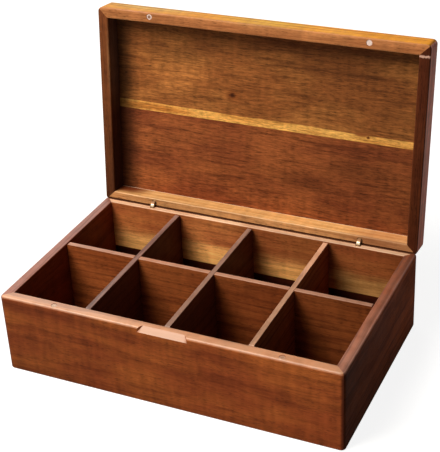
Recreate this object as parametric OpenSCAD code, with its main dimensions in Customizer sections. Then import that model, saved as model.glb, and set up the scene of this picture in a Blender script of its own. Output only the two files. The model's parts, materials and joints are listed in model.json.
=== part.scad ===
// Wooden tea bag box: a mitred body with eight compartments and a shallow mitred lid
// that swings on two hidden barrel hinges. It is drawn with its lid open.
// The origin is the centre of the underside, X runs to the right and Y to the back.

/* [Box] */
// Width of the box, left to right
box_w = 290; // [220:5:400]
// Depth of the box, front to back
box_d = 177; // [130:1:260]
// Height of the box up to its rim
box_h = 70; // [50:1:110]
// Thickness of the walls and of the lid rails
wall_t = 9; // [6.5:0.5:12]
// Thickness of the bottom panel
bottom_t = 5; // [4:0.5:8]
// Width of the step in the walls that the bottom and the lid boards sit in
rabbet_w = 4; // [2:0.5:5]
// Radius of the upright outer corners
corner_r = 4; // [3.5:0.5:6]
// Rounding of the outer edge of the box rim
rim_r = 2.5; // [1:0.5:3]
// Rounding of the inner edge of the box rim
rim_inner_r = 0.8; // [0.4:0.1:0.8]
// Rounding of the outer edge under the box
foot_r = 1; // [0.5:0.5:3]
// Rounding of the rims' rear edges beside the turning axis
rear_edge_r = 1.2; // [0.4:0.2:2]
// Height of the glue line between the two strips of the rear wall
rear_seam_h = 25; // [12:1:35]

/* [Dividers] */
// Thickness of the dividers
divider_t = 4.5; // [3:0.5:8]
// How far the dividers stop below the rim
divider_drop = 0.4; // [0.2:0.2:10]
// Distance of the long divider behind the middle of the box
divider_back = 3; // [-20:1:20]
// Gap between a divider's end and the wall
divider_gap = 0.5; // [0.2:0.1:0.8]
// Play in each crossing slot, both sides together
slot_play = 0.2; // [0.1:0.1:0.5]
// Rounding of a divider's top edges
divider_edge_r = 0.6; // [0.3:0.1:1]
// Rounding of a divider's top end corners
divider_end_r = 1.5; // [0.5:0.5:4]

/* [Lid] */
// Height of the lid's rails
lid_h = 21; // [20:1:40]
// Thickness of the two lid boards
lid_board_t = 5; // [4:0.5:7]
// Angle at which the open lid leans on its stop
lid_open = 96; // [80:1:110]
// Rounding of the outer edges on top of the lid
lid_top_r = 3; // [1:0.5:3]
// Rounding of the outer edge of the lid's rim
lid_rim_r = 1; // [0.5:0.5:2]
// Rounding of the inner edge of the lid's rim
lid_inner_r = 1.2; // [0.4:0.2:1.4]
// Distance of the boards' glue line behind the middle of the lid
seam_back = 3.6; // [-40:0.2:40]
// Gap round the edge of each panel in its step
panel_play = 0.1; // [0.05:0.05:0.4]
// Gap left between the rims when shut and between the bevels when open
closing_gap = 0.1; // [0.1:0.05:0.3]

/* [Thumb notch] */
// Length of the notch along its foot
notch_l = 35; // [20:1:60]
// Length of the slanted end on each side
notch_ramp = 3.5; // [1:0.5:8]
// How far the notch reaches in from the front
notch_in = 3.8; // [2:0.2:5]
// How far the notch reaches down from the rim
notch_down = 4.4; // [3:0.2:12]

/* [Hinges] */
// Distance of each hinge from the end of the box
hinge_inset = 49; // [30:1:80]
// Diameter of a hinge barrel
barrel_d = 5; // [4.2:0.1:6]
// Length of a hinge barrel
barrel_l = 9; // [7:0.5:12]
// Chamfer round a barrel's end at the rim
barrel_chamfer = 0.5; // [0.2:0.1:0.8]
// How far the barrels sit inward from the middle of the wall
barrel_off = 0.5; // [0:0.1:0.6]
// Distance of the turning axis behind the barrels
axis_gap = 0.2; // [0.15:0.01:0.3]
// Radial clearance of the barrels and magnets in their holes
bore_play = 0.05; // [0.02:0.01:0.1]
// Thickness of the link's ends inside the barrels
link_t = 1.8; // [1.4:0.1:2.2]
// Thickness of the link's middle, between the barrels
link_mid_t = 2.8; // [2.4:0.1:3]
// Width of the link, from its inner to its outer arc
link_w = 2.6; // [2.2:0.1:3.1]
// Diameter of a cross pin
pin_d = 1; // [0.8:0.1:1.2]
// Radial clearance of a cross pin in the link's slot
pin_play = 0.05; // [0.03:0.01:0.08]

/* [Magnets] */
// Distance of each magnet from the end of the box
magnet_inset = 49; // [20:1:80]
// Diameter of a magnet
magnet_d = 5; // [4:0.5:6]
// Thickness of a magnet
magnet_t = 3; // [2:0.5:5]
// Chamfer round a magnet's face
magnet_chamfer = 0.3; // [0.1:0.1:0.6]
// Thickness of the wood in front of a magnet
magnet_front = 1.3; // [1:0.1:1.6]
// Depth of a magnet's face below the rim
magnet_drop = 0.2; // [0.1:0.1:1]

/* [Hidden] */
$fn = 96;
over = 1;                     // how far a cut runs past what it cuts
inner_w = box_w - 2 * wall_t;
inner_d = box_d - 2 * wall_t;
divider_h = box_h - divider_drop - bottom_t;
cell_w = (inner_w - 3 * divider_t) / 4;
panel_w = inner_w + 2 * rabbet_w - 2 * panel_play;
panel_rear = inner_d / 2 + rabbet_w - panel_play;
bevel = lid_open / 2;         // each bevel takes half of the lid's swing
magnet_in = magnet_front + magnet_d / 2;            // magnet's axis behind the front face
barrel_fore = barrel_d / 2 + axis_gap;              // barrel's axis in front of the turning axis
pivot_in = wall_t / 2 + barrel_off - barrel_fore;   // turning axis in front of the rear face
pivot_y = box_d / 2 - pivot_in;
pivot_z = box_h + closing_gap / 2;
pin_off = 0.5;                // pins and the link's middle lie a little in front of the barrels' axes
link_off = 0.4;
pin_reach = barrel_fore + pin_off;
link_inner_r = barrel_fore + link_off - link_w / 2;
link_outer_r = link_inner_r + link_w;
link_step = 8;                // how much sooner the link's thick middle ends, as an angle
link_clear = 0.03;            // gap between the link's corners and the back of the bore
pin_angle = 14;               // cross pin below the rim, seen from the turning axis
link_side_play = 0.1;         // play of the link in a barrel, on each face
link_end_play = 0.15;         // play round the link's outer arc
cheek_in = 0.4;               // how far a cross pin stops inside the barrel

// What rounding an edge takes away: the corner is at the origin, the wood at +X +Y
module edge_waste(r) {
    difference() {
        translate([-over, -over]) square(r + over);
        translate([r, r]) circle(r);
    }
}

// Turns a flat shape drawn in Y and Z into a bar of the given length centred on X
module along_x(length) {
    translate([-length / 2, 0, 0]) rotate([90, 0, 90]) linear_extrude(length) children();
}

// Cross-section of a side: outer face at 0, rim on top. A radius of 0 leaves an edge square
module side_section(h, outer_r, inner_r, base_r) {
    difference() {
        square([wall_t, h]);
        if (outer_r > 0) translate([0, h]) mirror([0, 1]) edge_waste(outer_r);
        translate([wall_t, h]) mirror([1, 0]) mirror([0, 1]) edge_waste(inner_r);
        edge_waste(base_r);
    }
}

// Upright rounded corner that the sides share
module corner_post(h, outer_r, base_r) {
    rotate_extrude() difference() {
        square([corner_r, h]);
        translate([corner_r, h]) mirror([1, 0]) mirror([0, 1]) edge_waste(outer_r);
        translate([corner_r, 0]) mirror([1, 0]) edge_waste(base_r);
    }
}

// Space between the two mitres of a side
module mitre_wedge(length, h) {
    deep = 2 * wall_t;
    translate([0, 0, -over]) linear_extrude(h + 2 * over) polygon([
        [-length / 2 - over, -over], [length / 2 + over, -over],
        [length / 2 - deep, deep], [-length / 2 + deep, deep]
    ]);
}

// One mitred side with the step for its panel. edge_r is the straight run's outer rim edge
module frame_side(length, h, panel_t, edge_r, post_r, inner_r, base_r) {
    difference() {
        intersection() {
            union() {
                along_x(length - 2 * corner_r) side_section(h, edge_r, inner_r, base_r);
                for (end = [-1, 1])
                    translate([end * (length / 2 - corner_r), corner_r, 0])
                        corner_post(h, post_r, base_r);
            }
            mitre_wedge(length, h);
        }
        translate([-length / 2, wall_t - rabbet_w, -over])
            cube([length, rabbet_w + over, panel_t + over]);
    }
}

module at_front() translate([0, -box_d / 2, 0]) children();
module at_rear() translate([0, box_d / 2, 0]) rotate(180) children();
module at_left() translate([-box_w / 2, 0, 0]) rotate(-90) children();
module at_right() translate([box_w / 2, 0, 0]) rotate(90) children();
module at_hinge(side) translate([side * (box_w / 2 - hinge_inset), 0, 0]) children();
module at_magnet(side) translate([side * (box_w / 2 - magnet_inset), 0, 0]) children();

// Swings its children open about the turning axis
module swung(angle) {
    translate([0, pivot_y, pivot_z]) rotate([-angle, 0, 0]) translate([0, -pivot_y, -pivot_z])
        children();
}

// The lid is a shallow tray like the box, turned over on the rim and swung open
module on_lid() {
    swung(lid_open) translate([0, 0, box_h + closing_gap + lid_h]) mirror([0, 0, 1]) children();
}

// Bevel along the rear rim, so that the lid can swing past upright, with its front edge rounded
module rear_bevel(h) {
    reach = 4 * wall_t;
    edge_y = pivot_y - closing_gap / 2 * tan(bevel / 2);
    set_back = rear_edge_r * tan(bevel / 2);
    foot = [edge_y + set_back * cos(bevel), h - set_back * sin(bevel)];
    translate([-box_w / 2 - over, pivot_y, h + closing_gap / 2]) rotate([-bevel, 0, 0])
        translate([0, 0, -closing_gap / 2]) cube([box_w + 2 * over, reach, reach]);
    along_x(box_w + 2 * over) difference() {
        polygon([
            [edge_y - set_back, h - rear_edge_r], [edge_y - set_back, h + over],
            [edge_y + over, h + over], foot + over * [sin(bevel), cos(bevel)], foot
        ]);
        translate([edge_y - set_back, h - rear_edge_r]) circle(rear_edge_r);
    }
}

// Blind hole for a barrel, from the rim down
module barrel_hole(h) {
    translate([0, pivot_y - barrel_fore, h - barrel_l])
        cylinder(r = barrel_d / 2 + bore_play, h = barrel_l + over);
}

// Blind hole for a magnet, from the rim down
module magnet_hole(h) {
    translate([0, magnet_in - box_d / 2, h - magnet_drop - magnet_t])
        cylinder(r = magnet_d / 2 + bore_play, h = magnet_drop + magnet_t + over);
}

// Slanted facet with slanted ends, cut in the outer edge of the front rim
module thumb_notch() {
    full = notch_l + 2 * notch_ramp;
    slope = notch_ramp / notch_in;
    at_front() intersection() {
        translate([0, 0, box_h - notch_down - over]) linear_extrude(notch_down + 3 * over) polygon([
            [-full / 2 - slope * over, -over], [full / 2 + slope * over, -over],
            [notch_l / 2, notch_in], [notch_l / 2 - slope * over, notch_in + over],
            [-notch_l / 2 + slope * over, notch_in + over], [-notch_l / 2, notch_in]
        ]);
        along_x(full + 4 * notch_ramp) polygon([
            [-over, box_h - notch_down - over * notch_down / notch_in],
            [notch_in + over, box_h + over * notch_down / notch_in],
            [-over, box_h + over * notch_down / notch_in]
        ]);
    }
}

// Round rod standing on its square end, with a chamfer at the top
module chamfered_rod(r, length, chamfer) {
    rotate_extrude() polygon([[0, 0], [r, 0], [r, length - chamfer], [r - chamfer, length], [0, length]]);
}

// Round hinge body with a slot for the link and a cross hole for its pin
module hinge_barrel(h) {
    difference() {
        translate([0, pivot_y - barrel_fore, h - barrel_l])
            chamfered_rod(barrel_d / 2, barrel_l, barrel_chamfer);
        translate([0, pivot_y, h + closing_gap / 2]) rotate([0, 90, 0])
            cylinder(r = link_outer_r + link_end_play, h = link_mid_t + 2 * link_side_play, center = true);
        cross_pin(h, barrel_d + over);
    }
}

// Pin across a barrel, just below the rim
module cross_pin(h, length) {
    y = pivot_y - pin_reach * cos(pin_angle);
    z = h + closing_gap / 2 - pin_reach * sin(pin_angle);
    translate([0, y, z]) rotate([0, 90, 0]) cylinder(d = pin_d, h = length, center = true);
}

module hinge_pin(h) cross_pin(h, barrel_d - 2 * cheek_in);

// Point at a radius and an angle above the rim, seen from the turning axis
function link_point(r, a) = [-r * cos(a), r * sin(a)];

// Flat ring sector between two angles, up to a right angle wide at each side of its middle
module ring_sector(inner_r, outer_r, from_a, to_a) {
    far = 2 * outer_r;
    mid_a = (from_a + to_a) / 2;
    intersection() {
        difference() {
            circle(outer_r);
            circle(inner_r);
        }
        polygon([[0, 0], link_point(far, from_a), link_point(far, mid_a), link_point(far, to_a)]);
    }
}

// Curved slot in the link for one cross pin
module link_slot() {
    half = pin_d / 2 + pin_play;
    ring_sector(pin_reach - half, pin_reach + half, pin_angle, pin_angle + bevel);
    for (a = [pin_angle, pin_angle + bevel]) translate(link_point(pin_reach, a)) circle(half);
}

// Half the angle that a link plate of thickness t can fill without touching the back of the bore
function link_reach(t) =
    acos((barrel_fore - sqrt(pow(barrel_d / 2 + bore_play, 2) - pow(t / 2, 2)) + link_clear)
        / link_inner_r);

// One plate of the link, reaching equally far to both sides of its middle
module link_plate(t, span) {
    along_x(t) difference() {
        union() {
            ring_sector(link_inner_r, link_outer_r, 0, span);
            ring_sector(link_inner_r, link_outer_r, -span, 0);
        }
        link_slot();
        mirror([0, 1]) link_slot();
    }
}

// Curved link that slides in both barrels and turns half as far as the lid
module hinge_link() {
    swung(bevel) translate([0, pivot_y, pivot_z]) {
        link_plate(link_t, link_reach(link_t));
        link_plate(link_mid_t, link_reach(link_mid_t) - link_step);
    }
}

module magnet(h) {
    translate([0, magnet_in - box_d / 2, h - magnet_drop - magnet_t])
        chamfered_rod(magnet_d / 2, magnet_t, magnet_chamfer);
}

// Board lying in the step of a frame, between two places along Y
module panel(t, front_y, rear_y) {
    translate([-panel_w / 2, front_y, 0]) cube([panel_w, rear_y - front_y, t]);
}

// Thin board on edge with rounded top edges and end corners, lying along X
module divider_board(length) {
    intersection() {
        along_x(length) translate([-divider_t / 2, 0]) difference() {
            square([divider_t, divider_h]);
            translate([0, divider_h]) mirror([0, 1]) edge_waste(divider_edge_r);
            translate([divider_t, divider_h]) mirror([1, 0]) mirror([0, 1]) edge_waste(divider_edge_r);
        }
        translate([0, divider_t, 0]) rotate([90, 0, 0]) linear_extrude(2 * divider_t) difference() {
            translate([-length / 2, 0]) square([length, divider_h]);
            translate([-length / 2, divider_h]) mirror([0, 1]) edge_waste(divider_end_r);
            translate([length / 2, divider_h]) mirror([1, 0]) mirror([0, 1])
                edge_waste(divider_end_r);
        }
    }
}

// Half-height slot where two dividers cross, from below or from the top
module crossing_slot(x, from_top) {
    w = divider_t + slot_play;
    translate([x - w / 2, -divider_t, from_top ? divider_h / 2 : -over])
        cube([w, 2 * divider_t, divider_h / 2 + over]);
}

module front_wall() {
    color("#7d3b20") difference() {
        at_front() frame_side(box_w, box_h, bottom_t, rim_r, rim_r, rim_inner_r, foot_r);
        thumb_notch();
        for (side = [-1, 1]) at_magnet(side) magnet_hole(box_h);
    }
}

module rear_wall() {
    difference() {
        at_rear() frame_side(box_w, box_h, bottom_t, 0, rim_r, rim_inner_r, foot_r);
        rear_bevel(box_h);
        for (side = [-1, 1]) at_hinge(side) barrel_hole(box_h);
    }
}

// Everything between two heights
module slab(low, high) {
    translate([-box_w, -box_d, low]) cube([2 * box_w, 2 * box_d, high - low]);
}

module rear_wall_upper() {
    color("#8a4426") intersection() {
        rear_wall();
        slab(rear_seam_h, box_h + over);
    }
}

module rear_wall_lower() {
    color("#5a2617") intersection() {
        rear_wall();
        slab(-over, rear_seam_h);
    }
}

module left_wall() {
    color("#6a321f") difference() {
        at_left() frame_side(box_d, box_h, bottom_t, rim_r, rim_r, rim_inner_r, foot_r);
        rear_bevel(box_h);
    }
}

module right_wall() {
    color("#6a321f") difference() {
        at_right() frame_side(box_d, box_h, bottom_t, rim_r, rim_r, rim_inner_r, foot_r);
        rear_bevel(box_h);
    }
}

module bottom_panel() {
    color("#5a2a1a") panel(bottom_t, -panel_rear, panel_rear);
}

module long_divider() {
    color("#74371f") translate([0, divider_back, bottom_t]) difference() {
        divider_board(inner_w - 2 * divider_gap);
        for (i = [-1:1]) crossing_slot(i * (cell_w + divider_t), true);
    }
}

module cross_divider(place) {
    color("#8a4a2c") translate([place * (cell_w + divider_t), 0, bottom_t]) rotate(90) difference() {
        divider_board(inner_d - 2 * divider_gap);
        crossing_slot(divider_back, false);
    }
}

module lid_side_front() {
    at_front() frame_side(box_w, lid_h, lid_board_t, lid_rim_r, lid_rim_r, lid_inner_r, lid_top_r);
}

module lid_front_rail() {
    color("#c07a3c") on_lid() difference() {
        lid_side_front();
        for (side = [-1, 1]) at_magnet(side) magnet_hole(lid_h);
    }
}

module lid_rear_rail() {
    color("#c07a3c") on_lid() difference() {
        at_rear() frame_side(box_w, lid_h, lid_board_t, 0, lid_rim_r, lid_inner_r, lid_top_r);
        rear_bevel(lid_h);
        for (side = [-1, 1]) at_hinge(side) barrel_hole(lid_h);
    }
}

module lid_left_rail() {
    color("#6f3b22") on_lid() difference() {
        at_left() frame_side(box_d, lid_h, lid_board_t, lid_rim_r, lid_rim_r, lid_inner_r, lid_top_r);
        rear_bevel(lid_h);
    }
}

module lid_right_rail() {
    color("#6f3b22") on_lid() difference() {
        at_right() frame_side(box_d, lid_h, lid_board_t, lid_rim_r, lid_rim_r, lid_inner_r, lid_top_r);
        rear_bevel(lid_h);
    }
}

module lid_front_board() {
    color("#7a4a25") on_lid() panel(lid_board_t, -panel_rear, seam_back);
}

module lid_rear_board() {
    color("#85431f") on_lid() panel(lid_board_t, seam_back, panel_rear);
}

front_wall();
rear_wall_upper();
rear_wall_lower();
left_wall();
right_wall();
bottom_panel();
long_divider();
cross_divider(-1);  // cross_divider_left
cross_divider(0);  // cross_divider_middle
cross_divider(1);  // cross_divider_right
color("silver") at_magnet(-1) magnet(box_h);  // box_magnet_left
color("silver") at_magnet(1) magnet(box_h);  // box_magnet_right
color("goldenrod") at_hinge(-1) hinge_barrel(box_h);  // left_hinge_lower_barrel
color("goldenrod") at_hinge(1) hinge_barrel(box_h);  // right_hinge_lower_barrel
color("silver") at_hinge(-1) hinge_pin(box_h);  // left_hinge_lower_pin
color("silver") at_hinge(1) hinge_pin(box_h);  // right_hinge_lower_pin
color("gold") at_hinge(-1) hinge_link();  // left_hinge_link
color("gold") at_hinge(1) hinge_link();  // right_hinge_link
lid_front_rail();
lid_rear_rail();
lid_left_rail();
lid_right_rail();
lid_front_board();
lid_rear_board();
color("silver") on_lid() at_magnet(-1) magnet(lid_h);  // lid_magnet_left
color("silver") on_lid() at_magnet(1) magnet(lid_h);  // lid_magnet_right
color("goldenrod") on_lid() at_hinge(-1) hinge_barrel(lid_h);  // left_hinge_upper_barrel
color("goldenrod") on_lid() at_hinge(1) hinge_barrel(lid_h);  // right_hinge_upper_barrel
color("silver") on_lid() at_hinge(-1) hinge_pin(lid_h);  // left_hinge_upper_pin
color("silver") on_lid() at_hinge(1) hinge_pin(lid_h);  // right_hinge_upper_pin
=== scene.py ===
import json
import math
import bpy
from mathutils import Matrix, Vector


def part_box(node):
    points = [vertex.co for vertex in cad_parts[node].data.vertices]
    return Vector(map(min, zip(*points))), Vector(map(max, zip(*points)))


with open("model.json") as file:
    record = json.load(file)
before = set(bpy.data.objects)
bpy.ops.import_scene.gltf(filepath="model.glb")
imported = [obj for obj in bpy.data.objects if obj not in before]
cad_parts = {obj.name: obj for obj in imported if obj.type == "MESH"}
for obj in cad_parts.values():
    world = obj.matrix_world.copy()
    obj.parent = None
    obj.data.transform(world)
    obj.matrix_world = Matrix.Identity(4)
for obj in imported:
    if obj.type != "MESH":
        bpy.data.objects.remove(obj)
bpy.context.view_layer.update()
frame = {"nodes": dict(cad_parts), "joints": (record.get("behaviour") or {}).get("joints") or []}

nodes = frame["nodes"]
print("frame loaded:", len(nodes), "pieces")

mm = 0.001
perMetre = 1000         # millimetres in a metre
lidHinge = next(j for j in frame["joints"] if j["name"] == "lid_hinge")
lidPivot = Vector(lidHinge["pos_m"])
lidOpen = math.radians(96)      # the lid is drawn open, and its grain is laid out as if it were shut
lidSeam = lidPivot.y / mm - 0.9     # where the seam's shade begins on the lid, in front of the axis
boxSeam = lidSeam - 1.6             # and where it begins on the box, in millimetres


# Turns a web colour into the linear one that a shader takes
def paint(code):
    parts = [int(code[i:i + 2], 16) / 255 for i in (1, 3, 5)]
    return [c / 12.92 if c <= 0.04045 else ((c + 0.055) / 1.055) ** 2.4 for c in parts] + [1]


# Links or sets a node's inputs, each given by name or by place
def feed(tree, node, inputs):
    for name, value in inputs.items():
        if isinstance(value, bpy.types.NodeSocket):
            tree.links.new(value, node.inputs[name])
        else:
            node.inputs[name].default_value = value


# Adds a node with its settings and inputs
def put(tree, kind, inputs=None, **settings):
    node = tree.nodes.new("ShaderNode" + kind)
    for name, value in settings.items():
        setattr(node, name, value)
    feed(tree, node, inputs or {})
    return node


def calc(tree, operation, *values):
    return put(tree, "Math", dict(enumerate(values)), operation=operation).outputs[0]


def calcVector(tree, operation, *values):
    return put(tree, "VectorMath", dict(enumerate(values)), operation=operation).outputs["Vector"]


def lengthOf(tree, vector):
    return put(tree, "VectorMath", {0: vector}, operation="LENGTH").outputs["Value"]


def axes(tree, vector):
    return put(tree, "SeparateXYZ", {0: vector}).outputs


def ramp(tree, value, low, high, toLow=0.0, toHigh=1.0):
    inputs = {"Value": value, "From Min": low, "From Max": high, "To Min": toLow, "To Max": toHigh}
    return put(tree, "MapRange", inputs, interpolation_type="SMOOTHSTEP").outputs["Result"]


mixPlaces = {"share": 0, "first": 6, "second": 7, "result": 2}      # a mix node's sockets for colours


def mixColor(tree, share, first, second, mode="MIX"):
    inputs = {mixPlaces["share"]: share, mixPlaces["first"]: first, mixPlaces["second"]: second}
    return put(tree, "Mix", inputs, data_type="RGBA", blend_type=mode).outputs[mixPlaces["result"]]


def multiplied(tree, color, level):
    return mixColor(tree, 1.0, color, level, "MULTIPLY")


def grey(tree, value):
    return put(tree, "CombineColor", {0: value, 1: value, 2: value}).outputs[0]


def noise(tree, vector, scale, detail, roughness):
    inputs = {"Vector": vector, "Scale": scale, "Detail": detail, "Roughness": roughness}
    return put(tree, "TexNoise", inputs).outputs["Fac"]


def noiseOnLine(tree, place, detail, roughness):
    inputs = {"W": place, "Scale": 1.0, "Detail": detail, "Roughness": roughness}
    return put(tree, "TexNoise", inputs, noise_dimensions="1D").outputs["Fac"]


def stretched(tree, vector, along, across):
    return calcVector(tree, "MULTIPLY", vector, (along, across, across))


noiseMiddle = 0.5


# How far a noise swings from its middle
def swing(tree, value):
    return calc(tree, "SUBTRACT", value, noiseMiddle)


# Noises drawn out along the grain: marks per millimetre along it and across it, detail, roughness
grainNoises = {
    "waver": (0.006, 0.014, 3.0, 0.45), "wiggle": (0.03, 0.09, 2.0, 0.5),
    "streak": (0.016, 0.3, 3.0, 0.6), "fibre": (0.13, 0.85, 4.0, 0.72),
    "flame": (0.012, 0.03, 3.0, 0.55), "curl": (0.16, 0.035, 2.0, 0.5),
    "crowd": (0.02, 0.12, 2.0, 0.5), "roam": (0.014, 0.05, 3.0, 0.55),
    "feather": (0.02, 0.9, 3.0, 0.6), "broken": (0.08, 0.3, 3.0, 0.6),
    "rub": (0.05, 0.6, 3.0, 0.6), "scratch": (0.7, 9.0, 2.0, 0.5)}


def grainNoise(tree, vector, kind):
    along, across, detail, roughness = grainNoises[kind]
    return noise(tree, stretched(tree, vector, along, across), 1.0, detail, roughness)


# Noises alike in all directions: marks per millimetre, detail, roughness
evenNoises = {
    "patches": (0.06, 4.0, 0.65), "ragged": (0.3, 2.0, 0.5), "cloud": (0.03, 4.0, 0.6),
    "ripple": (0.25, 3.0, 0.5), "dulled": (0.9, 4.0, 0.6)}


def evenNoise(tree, vector, kind):
    return noise(tree, vector, *evenNoises[kind])


# Where each mark begins and where it is full, and the shares there if they aren't 0 and 1
spans = {
    "darkRing": (0.5, 0.66), "paleRing": (0.5, 0.34), "flame": (0.38, 0.64), "streak": (0.5, 0.68),
    "pore": (0.4, 0.12), "crowd": (0.32, 0.56), "feathered": (-0.5, 0.5), "glued": (0.0, 0.25),
    "rounded": (0.99, 0.87), "level": (0.05, 0.4), "upright": (0.4, 0.05),
    "sideways": (0.6, 0.3, 0.25, 1.0), "wornPatch": (0.3, 0.62, 0.6, 1.0), "topFace": (0.6, 0.98),
    "topPatch": (0.25, 0.6, 0.65, 1.0), "upward": (0.3, 0.9), "rubbedPatch": (0.2, 0.6, 0.7, 1.0),
    "blot": (1.0, 0.25), "broken": (0.3, 0.55, 0.25, 1.0), "thinLine": (1.0, 0.4), "seam": (0.0, 1.0),
    "dulled": (0.42, 0.66), "core": (1.7, 1.2), "paintedHighlight": (0.7, 1.3)}


def span(tree, value, kind):
    return ramp(tree, value, *spans[kind])


columnStep, rowStep = -240, -190


# Places the nodes in columns, the output last, so that an opened tree is easy to read
def layOut(tree):
    depth = {}

    def reach(node, level):
        if depth.get(node.name, -1) >= level:
            return
        depth[node.name] = level
        for socket in node.inputs:
            for link in socket.links:
                reach(link.from_node, level + 1)

    for node in tree.nodes:
        if not any(socket.links for socket in node.outputs):
            reach(node, 0)
    rows = {}
    for node in tree.nodes:
        column = depth.get(node.name, 0)
        rows[column] = rows.get(column, 0) + 1
        node.location = (columnStep * column, rowStep * rows[column])
    return tree


def openGroup(name, inputs, outputs):
    tree = bpy.data.node_groups.new(name, "ShaderNodeTree")
    for label, kind, value in inputs:
        socket = tree.interface.new_socket(name=label, in_out="INPUT", socket_type="NodeSocket" + kind)
        if value is not None:
            socket.default_value = value
    for label, kind in outputs:
        tree.interface.new_socket(name=label, in_out="OUTPUT", socket_type="NodeSocket" + kind)
    enter = tree.nodes.new("NodeGroupInput").outputs
    leave = tree.nodes.new("NodeGroupOutput").inputs
    return tree, enter, leave


def useGroup(tree, group, inputs):
    node = tree.nodes.new("ShaderNodeGroup")
    node.node_tree = group
    node.label = group.name
    feed(tree, node, inputs)
    return node.outputs


# Shares of the grain's parts in its colour, tone and relief. The ripple is in millimetres,
# pore cells are counted along and across the grain in one millimetre
grainParts = {"ripple": 2.4, "ringDetail": 4.0, "ringRoughness": 0.66, "poreCells": (0.2, 0.95),
              "paleShare": 0.6, "ringTone": 0.5, "streakTone": 0.5, "fibreHeight": 0.5, "ringHeight": -0.3}


# Grain of a sawn board. The vector is in millimetres from the heart of the log:
# X along the grain, Y across the face, Z through the thickness
def makeGrain():
    tree, enter, leave = openGroup("boardGrain", [
        ("Vector", "Vector", None), ("Base", "Color", (0.3, 0.1, 0.04, 1)),
        ("Light", "Color", (0.5, 0.2, 0.08, 1)), ("Dark", "Color", (0.1, 0.03, 0.01, 1)),
        ("Ring Width", "Float", 5.0), ("Rings", "Float", 0.6), ("Streaks", "Float", 0.5),
        ("Fibres", "Float", 0.3), ("Pores", "Float", 0.4), ("Waver", "Float", 10.0),
        ("Flame", "Float", 0.3), ("Curl", "Float", 0.5), ("Drift", "Float", 0.0)],
        [("Color", "Color"), ("Tone", "Float"), ("Height", "Float")])
    vector = enter["Vector"]
    split = axes(tree, vector)
    radius = calc(tree, "SQRT", calc(tree, "ADD", calc(tree, "POWER", split["Y"], 2.0),
                                     calc(tree, "POWER", split["Z"], 2.0)))
    shift = calc(tree, "MULTIPLY", swing(tree, grainNoise(tree, vector, "waver")), enter["Waver"])
    ripple = calc(tree, "MULTIPLY", swing(tree, grainNoise(tree, vector, "wiggle")), grainParts["ripple"])
    bent = calc(tree, "ADD", calc(tree, "ADD", radius, shift), ripple)
    count = calc(tree, "DIVIDE", bent, enter["Ring Width"])
    rings = noiseOnLine(tree, count, grainParts["ringDetail"], grainParts["ringRoughness"])
    darkRing = span(tree, rings, "darkRing")
    paleRing = span(tree, rings, "paleRing")

    bow = put(tree, "CombineXYZ", {"X": 0.0, "Y": shift, "Z": shift}).outputs[0]
    flow = calcVector(tree, "ADD", vector, bow)
    streak = grainNoise(tree, flow, "streak")
    fibre = grainNoise(tree, flow, "fibre")
    flame = grainNoise(tree, flow, "flame")
    curl = grainNoise(tree, flow, "curl")
    crowd = grainNoise(tree, flow, "crowd")
    cells = put(tree, "TexVoronoi", {"Vector": stretched(tree, flow, *grainParts["poreCells"]), "Scale": 1.0},
                feature="F1").outputs["Distance"]
    pore = calc(tree, "MULTIPLY", span(tree, cells, "pore"), span(tree, crowd, "crowd"))

    paleShare = calc(tree, "MULTIPLY", enter["Rings"], grainParts["paleShare"])
    color = enter["Base"]
    for mark, share, other in ((span(tree, flame, "flame"), enter["Flame"], "Light"),
                               (paleRing, paleShare, "Light"), (darkRing, enter["Rings"], "Dark"),
                               (span(tree, streak, "streak"), enter["Streaks"], "Dark")):
        color = mixColor(tree, calc(tree, "MULTIPLY", mark, share), color, enter[other])
    fineTone = calc(tree, "MULTIPLY_ADD", swing(tree, fibre), enter["Fibres"], 1.0)
    curlTone = calc(tree, "MULTIPLY_ADD", swing(tree, curl), enter["Curl"], fineTone)
    poreTone = calc(tree, "SUBTRACT", curlTone, calc(tree, "MULTIPLY", pore, enter["Pores"]))
    drift = calc(tree, "MULTIPLY_ADD", split["X"], enter["Drift"], 1.0)
    shade = grey(tree, calc(tree, "MULTIPLY", poreTone, drift))
    tree.links.new(multiplied(tree, color, shade), leave["Color"])
    streakTone = calc(tree, "MULTIPLY", streak, grainParts["streakTone"])
    tree.links.new(calc(tree, "MULTIPLY_ADD", darkRing, grainParts["ringTone"], streakTone), leave["Tone"])
    height = calc(tree, "SUBTRACT", calc(tree, "MULTIPLY", fibre, grainParts["fibreHeight"]), pore)
    tree.links.new(calc(tree, "MULTIPLY_ADD", rings, grainParts["ringHeight"], height), leave["Height"])
    return layOut(tree)


# Pale sapwood from a straight glue line to a natural edge, both given across the face. On the lid's
# side rails the same band paints shade on the left and sheen on the right
def makeSapwood():
    tree, enter, leave = openGroup("sapwoodAndPaintedLight", [
        ("Vector", "Vector", None), ("Glue Line", "Float", 0.0), ("Edge", "Float", 10.0),
        ("Fade", "Float", 3.0), ("Wander", "Float", 3.0), ("Slope", "Float", 0.0)],
        [("Mask", "Float")])
    split = axes(tree, enter["Vector"])
    roam = swing(tree, grainNoise(tree, enter["Vector"], "roam"))
    feather = swing(tree, grainNoise(tree, enter["Vector"], "feather"))
    edge = calc(tree, "MULTIPLY_ADD", roam, enter["Wander"], enter["Edge"])
    edge = calc(tree, "MULTIPLY_ADD", split["X"], enter["Slope"], edge)
    edge = calc(tree, "MULTIPLY_ADD", feather, enter["Fade"], edge)
    way = calc(tree, "SUBTRACT", split["Y"], edge)
    side = calc(tree, "SIGN", calc(tree, "SUBTRACT", enter["Glue Line"], enter["Edge"]))
    inward = calc(tree, "DIVIDE", calc(tree, "MULTIPLY", way, side), enter["Fade"])
    past = calc(tree, "MULTIPLY", calc(tree, "SUBTRACT", enter["Glue Line"], split["Y"]), side)
    mask = calc(tree, "MULTIPLY", span(tree, inward, "feathered"), span(tree, past, "glued"))
    tree.links.new(mask, leave["Mask"])
    return layOut(tree)


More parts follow.
